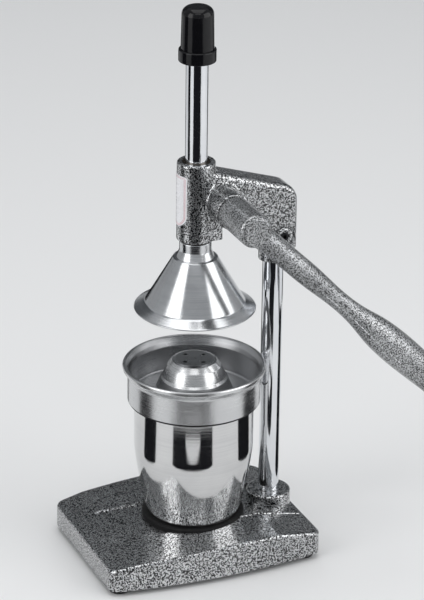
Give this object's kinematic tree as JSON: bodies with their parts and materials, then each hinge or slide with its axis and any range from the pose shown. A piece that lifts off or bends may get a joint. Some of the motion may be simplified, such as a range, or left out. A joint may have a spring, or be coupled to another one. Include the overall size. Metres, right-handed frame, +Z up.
{
  "type": "manual citrus juicer press",
  "caption": "Hand-lever citrus press: rack-and-pinion ram with a pressing cone over a strainer bowl and juice cup, on a column and cast base.",
  "frame": {"origin": "on the ram's axis, in the plane that the feet stand on", "axes": "+Z up along the ram, +Y from the cup to the column (the user stands at -Y), +X towards the lever, whose shaft is parallel to X"},
  "size_m": [0.1797, 0.3305, 0.5195],
  "materials": {
    "hammertone": "hammertone",
    "chrome": "polished",
    "polished_aluminium": "polished",
    "spun_aluminium": "satin",
    "stainless": "polished",
    "black_plastic": "gloss",
    "rubber": "matte",
    "steel": "machined",
    "black_steel": "black oxide",
    "bronze": "machined",
    "label_film": "satin"
  },
  "bodies": {
    "frame": {"base_casting": "hammertone", "foot_screws": "steel", "cup_pad": "rubber", "column": "chrome", "column_washer": "steel", "column_bolt": "steel", "head_casting": "hammertone", "column_set_screw": "black_steel", "ram_guide_upper": "bronze", "ram_guide_lower": "bronze", "shaft_bush_near": "bronze", "shaft_bush_far": "bronze", "label_plate": "label_film", "foot_front_right": "rubber", "foot_front_left": "rubber", "foot_rear_right": "rubber", "foot_rear_left": "rubber"},
    "lever": {"lever_arm": "hammertone", "pinion_shaft": "steel", "pinion_gear": "steel", "pinion_key": "steel", "shaft_washer": "steel", "shaft_retaining_ring": "black_steel", "lever_set_screw": "black_steel"},
    "ram": {"ram_rack": "chrome", "ram_cap": "black_plastic", "press_cone": "polished_aluminium", "cone_screw": "steel"},
    "cup": {"juice_cup": "stainless"},
    "bowl": {"strainer_bowl": "spun_aluminium"}
  },
  "joints": [
    {"name": "lever_turn", "type": "hinge", "parent": "frame", "child": "lever", "pos_m": [0, 0.019, 0.341], "axis": [1, 0, 0], "range_deg": [0, 267.3]},
    {"name": "ram_slide", "type": "slide", "parent": "frame", "child": "ram", "axis": [0, 0, -1], "range_m": [0, 0.084]},
    {"name": "cup_turn", "type": "hinge", "parent": "frame", "child": "cup", "pos_m": [0, 0, 0.0362], "axis": [0, 0, 1], "continuous": true},
    {"name": "bowl_turn", "type": "hinge", "parent": "cup", "child": "bowl", "pos_m": [0, 0, 0.1473], "axis": [0, 0, 1], "continuous": true}
  ],
  "couplings": [
    {"joint": "ram_slide", "follows": "lever_turn", "m_per_rad": 0.018}
  ]
}
